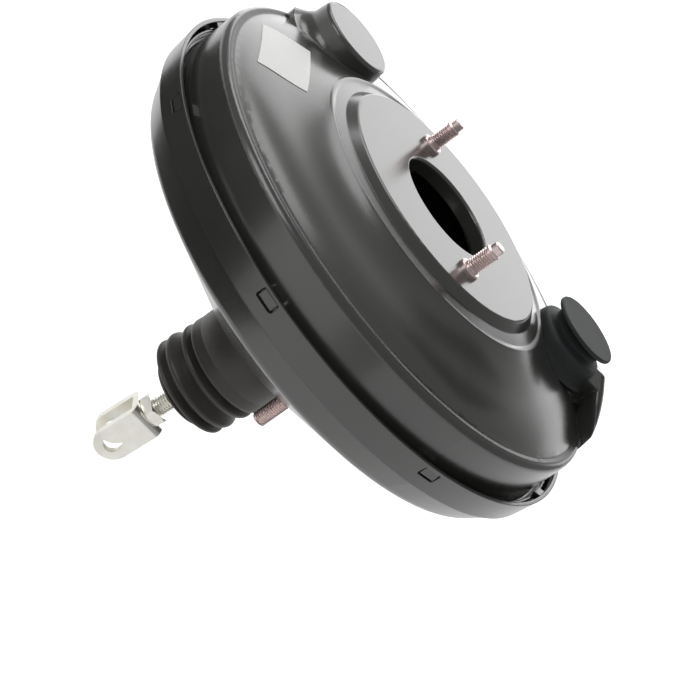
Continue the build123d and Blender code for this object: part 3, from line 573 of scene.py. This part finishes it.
spring_wire = finish("spring_wire", (0.30, 0.30, 0.31), 0.38, metallic=1.0, contrast=0.3,
                     scale=200.0, grain=1500.0)
wire_shape = coil(SPRING_R, SPRING_WIRE_R, SPRING_LOW, SPRING_HIGH, SPRING_TURNS, SPRING_ROWS)
return_spring = skin("return_spring_wire", wire_shape, spring_wire, "booster_housing",
                     "return_spring")
smooth(return_spring, 60.0)
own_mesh(return_spring)
points, quads, fans = coil(SMALL_R, SMALL_WIRE_R, SMALL_LOW, SMALL_HIGH, SMALL_TURNS, SMALL_ROWS)
small_spring = skin("rod_spring_wire", (hung(points), quads, fans), spring_wire, None,
                    "rod_return_spring")
smooth(small_spring, 60.0)
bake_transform(small_spring)
dress("poppet_spring", spring_wire)


# ---- diaphragm ------------------------------------------------------------------------------
# The rolling diaphragm is clamped at its bead; on the booster its web follows the piston, but here
# the whole of it stays with the housing. It is the solid's own surface, so that it keeps its holes
# for the tie rod seals.
solid = nodes["diaphragm"].data
places = np.empty(len(solid.vertices) * 3)
solid.vertices.foreach_get("co", places)
solid.calc_loop_triangles()
corners = np.empty(len(solid.loop_triangles) * 3, np.int32)
solid.loop_triangles.foreach_get("vertices", corners)
web_shape = (places.reshape(-1, 3) / MM, np.empty((0, 4), int), corners.reshape(-1, 3))
diaphragm = skin("diaphragm_rubber", web_shape, rubber, "booster_housing", "diaphragm")
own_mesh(diaphragm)


# ---- inner pieces ---------------------------------------------------------------------------
# Bare pressed steel, moulded plastic, rubber and turned steel inside the housing. Their solids
# are complete, so each only takes its finish.
plain_steel = finish("plain_steel", (0.50, 0.50, 0.50), 0.42, metallic=1.0, contrast=0.2,
                     scale=60.0, grain=1200.0)
for node in ("rear_reinforcement_plate", "front_reinforcement_plate", "diaphragm_plate", "stop_key",
             "output_rod_retainer", "poppet_retainer"):
    dress(node, plain_steel)
for node in ("neck_seal", "tie_rod_seals", "reaction_disc", "poppet_valve"):
    dress(node, rubber)
dress("neck_guide", finish("guide_plastic", (0.72, 0.70, 0.62), 0.45, contrast=0.06, scale=50.0))
dress("valve_body", finish("valve_plastic", (0.10, 0.10, 0.10), 0.48, contrast=0.2, scale=50.0))
dress("air_filter", finish("filter_foam", (0.09, 0.09, 0.09), 0.85, contrast=0.4, scale=700.0,
                           grain=900.0, depth=0.0004))
turned_zinc = finish("turned_zinc", (0.74, 0.74, 0.72), 0.28, metallic=1.0, contrast=0.1,
                     scale=120.0)
for node in ("output_rod", "valve_plunger"):
    dress(node, turned_zinc)


# ---- lights ---------------------------------------------------------------------------------
# A large soft lamp behind the booster lays the sheen on the dome. A small one low behind it, one
# above and a weak key beside the camera fill in. Each faces the middle of the booster.
MIDDLE = np.array([0.0, 0.0, 0.04])


def in_view(side, rise, near):
    """Point given by metres right, up and towards the camera from the middle of the booster."""
    return Vector(MIDDLE + side * right + rise * up + near * back)


def softbox(name, place, size, watts):
    """Area lamp at a place, turned to face the middle of the booster."""
    lamp_data = bpy.data.lights.new(name, "AREA")
    lamp_data.shape = "RECTANGLE"
    lamp_data.size, lamp_data.size_y = size
    lamp_data.energy = watts
    lamp = bpy.data.objects.new(name, lamp_data)
    lamp.visible_camera = False
    bpy.context.collection.objects.link(lamp)
    lamp.location = place
    lamp.rotation_mode = "QUATERNION"
    lamp.rotation_quaternion = (in_view(0, 0, 0) - place).to_track_quat("-Z", "Y")


softbox("behind", in_view(0.60, 0.93, -1.62), size=(1.5, 2.0), watts=15.5)
softbox("low behind", in_view(1.08, 0.10, -1.28), size=(0.7, 0.5), watts=1.3)
softbox("above", in_view(0.7, 1.5, -0.05), size=(0.7, 1.1), watts=6)
softbox("key", in_view(-0.6, 1.2, 1.4), size=(1.0, 1.0), watts=8)


# ---- surroundings and floor -----------------------------------------------------------------
# The surroundings and the floor show white to the camera. The surroundings light the booster with
# less than they show, and the floor shows in reflections at a share of its glow.
WHITE = (1, 1, 1, 1)
SKY_LIGHT, SKY_SHOWN = 0.31, 1.0
FLOOR_GREY = (0.9, 0.9, 0.9, 1)
FLOOR_ROUGH = 0.9
FLOOR_GLOW = 0.72
GLOSSY_SHARE = 0.6
FLOOR_GAP = 0.0005
FLOOR_SIDE = 12.0
FLOOR_Z = cad_box[0].z - FLOOR_GAP


def rectangle(name, middle, across, along, material):
    """Flat sheet whose corners are the middle plus and minus half of the two side vectors."""
    middle, across, along = (np.array(vector, float) for vector in (middle, across, along))
    signs = np.array(((-1, -1), (1, -1), (1, 1), (-1, 1))) / 2
    corners = middle + signs[:, :1] * across + signs[:, 1:] * along
    mesh = bpy.data.meshes.new(name)
    mesh.from_pydata(corners.tolist(), [], [(0, 1, 2, 3)])
    mesh.materials.append(material)
    sheet = bpy.data.objects.new(name, mesh)
    bpy.context.collection.objects.link(sheet)
    return sheet


world = bpy.data.worlds.new("surroundings")
bpy.context.scene.world = world
world.use_nodes = True
tree = world.node_tree
light = tree.nodes["Background"]
light.inputs["Color"].default_value = WHITE
light.inputs["Strength"].default_value = SKY_LIGHT
shown = tree.nodes.new("ShaderNodeBackground")
shown.inputs["Color"].default_value = WHITE
shown.inputs["Strength"].default_value = SKY_SHOWN
path = tree.nodes.new("ShaderNodeLightPath")
mix = tree.nodes.new("ShaderNodeMixShader")
tree.links.new(path.outputs["Is Camera Ray"], mix.inputs["Fac"])
tree.links.new(light.outputs["Background"], mix.inputs[1])
tree.links.new(shown.outputs["Background"], mix.inputs[2])
tree.links.new(mix.outputs["Shader"], tree.nodes["World Output"].inputs["Surface"])

floor_material = bpy.data.materials.new("floor")
floor_material.use_nodes = True
tree = floor_material.node_tree
surface = tree.nodes["Principled BSDF"]
surface.inputs["Base Color"].default_value = FLOOR_GREY
surface.inputs["Roughness"].default_value = FLOOR_ROUGH
glow = tree.nodes.new("ShaderNodeEmission")
glow.inputs["Strength"].default_value = FLOOR_GLOW
path = tree.nodes.new("ShaderNodeLightPath")
seen = tree.nodes.new("ShaderNodeMath")
seen.operation = "MULTIPLY_ADD"
seen.inputs[1].default_value = GLOSSY_SHARE
tree.links.new(path.outputs["Is Glossy Ray"], seen.inputs[0])
tree.links.new(path.outputs["Is Camera Ray"], seen.inputs[2])
lit = tree.nodes.new("ShaderNodeMixShader")
tree.links.new(seen.outputs["Value"], lit.inputs["Fac"])
tree.links.new(glow.outputs["Emission"], lit.inputs[2])
both = tree.nodes.new("ShaderNodeAddShader")
tree.links.new(surface.outputs["BSDF"], both.inputs[0])
tree.links.new(lit.outputs["Shader"], both.inputs[1])
tree.links.new(both.outputs["Shader"], tree.nodes["Material Output"].inputs["Surface"])
floor = rectangle("floor", (0, 0, FLOOR_Z), (FLOOR_SIDE, 0, 0), (0, FLOOR_SIDE, 0),
                  floor_material)


# ---- dark cards -----------------------------------------------------------------------------
# Three black cards that show in reflections only, as painted dark reflections in the glossy
# surfaces: one lies to the left of the booster, one in front of it, and one stands to its right.
CARD_LIFT = 0.004
CARD_Z = FLOOR_Z + CARD_LIFT
painted_dark_reflection = finish("painted_dark_reflection", (0.012, 0.012, 0.012), 0.95, contrast=0.3, scale=30.0,
                     grain=300.0)
for name, middle, across, along in (
        ("card_left", (-0.27, -0.54, CARD_Z), (0.92, 0, 0), (0, 0.84, 0)),
        ("card_near", (0.62, -0.20, CARD_Z), (0.14, 0, 0), (0, 0.22, 0)),
        ("card_right", in_view(0.79, 0.30, -0.34), 0.34 * (0.39 * right + 0.92 * back),
         0.24 * (-0.37 * right + 0.93 * up))):
    # Each card is a painted dark reflection: the camera, diffuse light and shadows do not see it.
    card = rectangle(name, middle, across, along, painted_dark_reflection)
    card.visible_camera = card.visible_diffuse = False
    card.visible_shadow = card.visible_transmission = False

bpy.context.scene.view_settings.view_transform = "Standard"
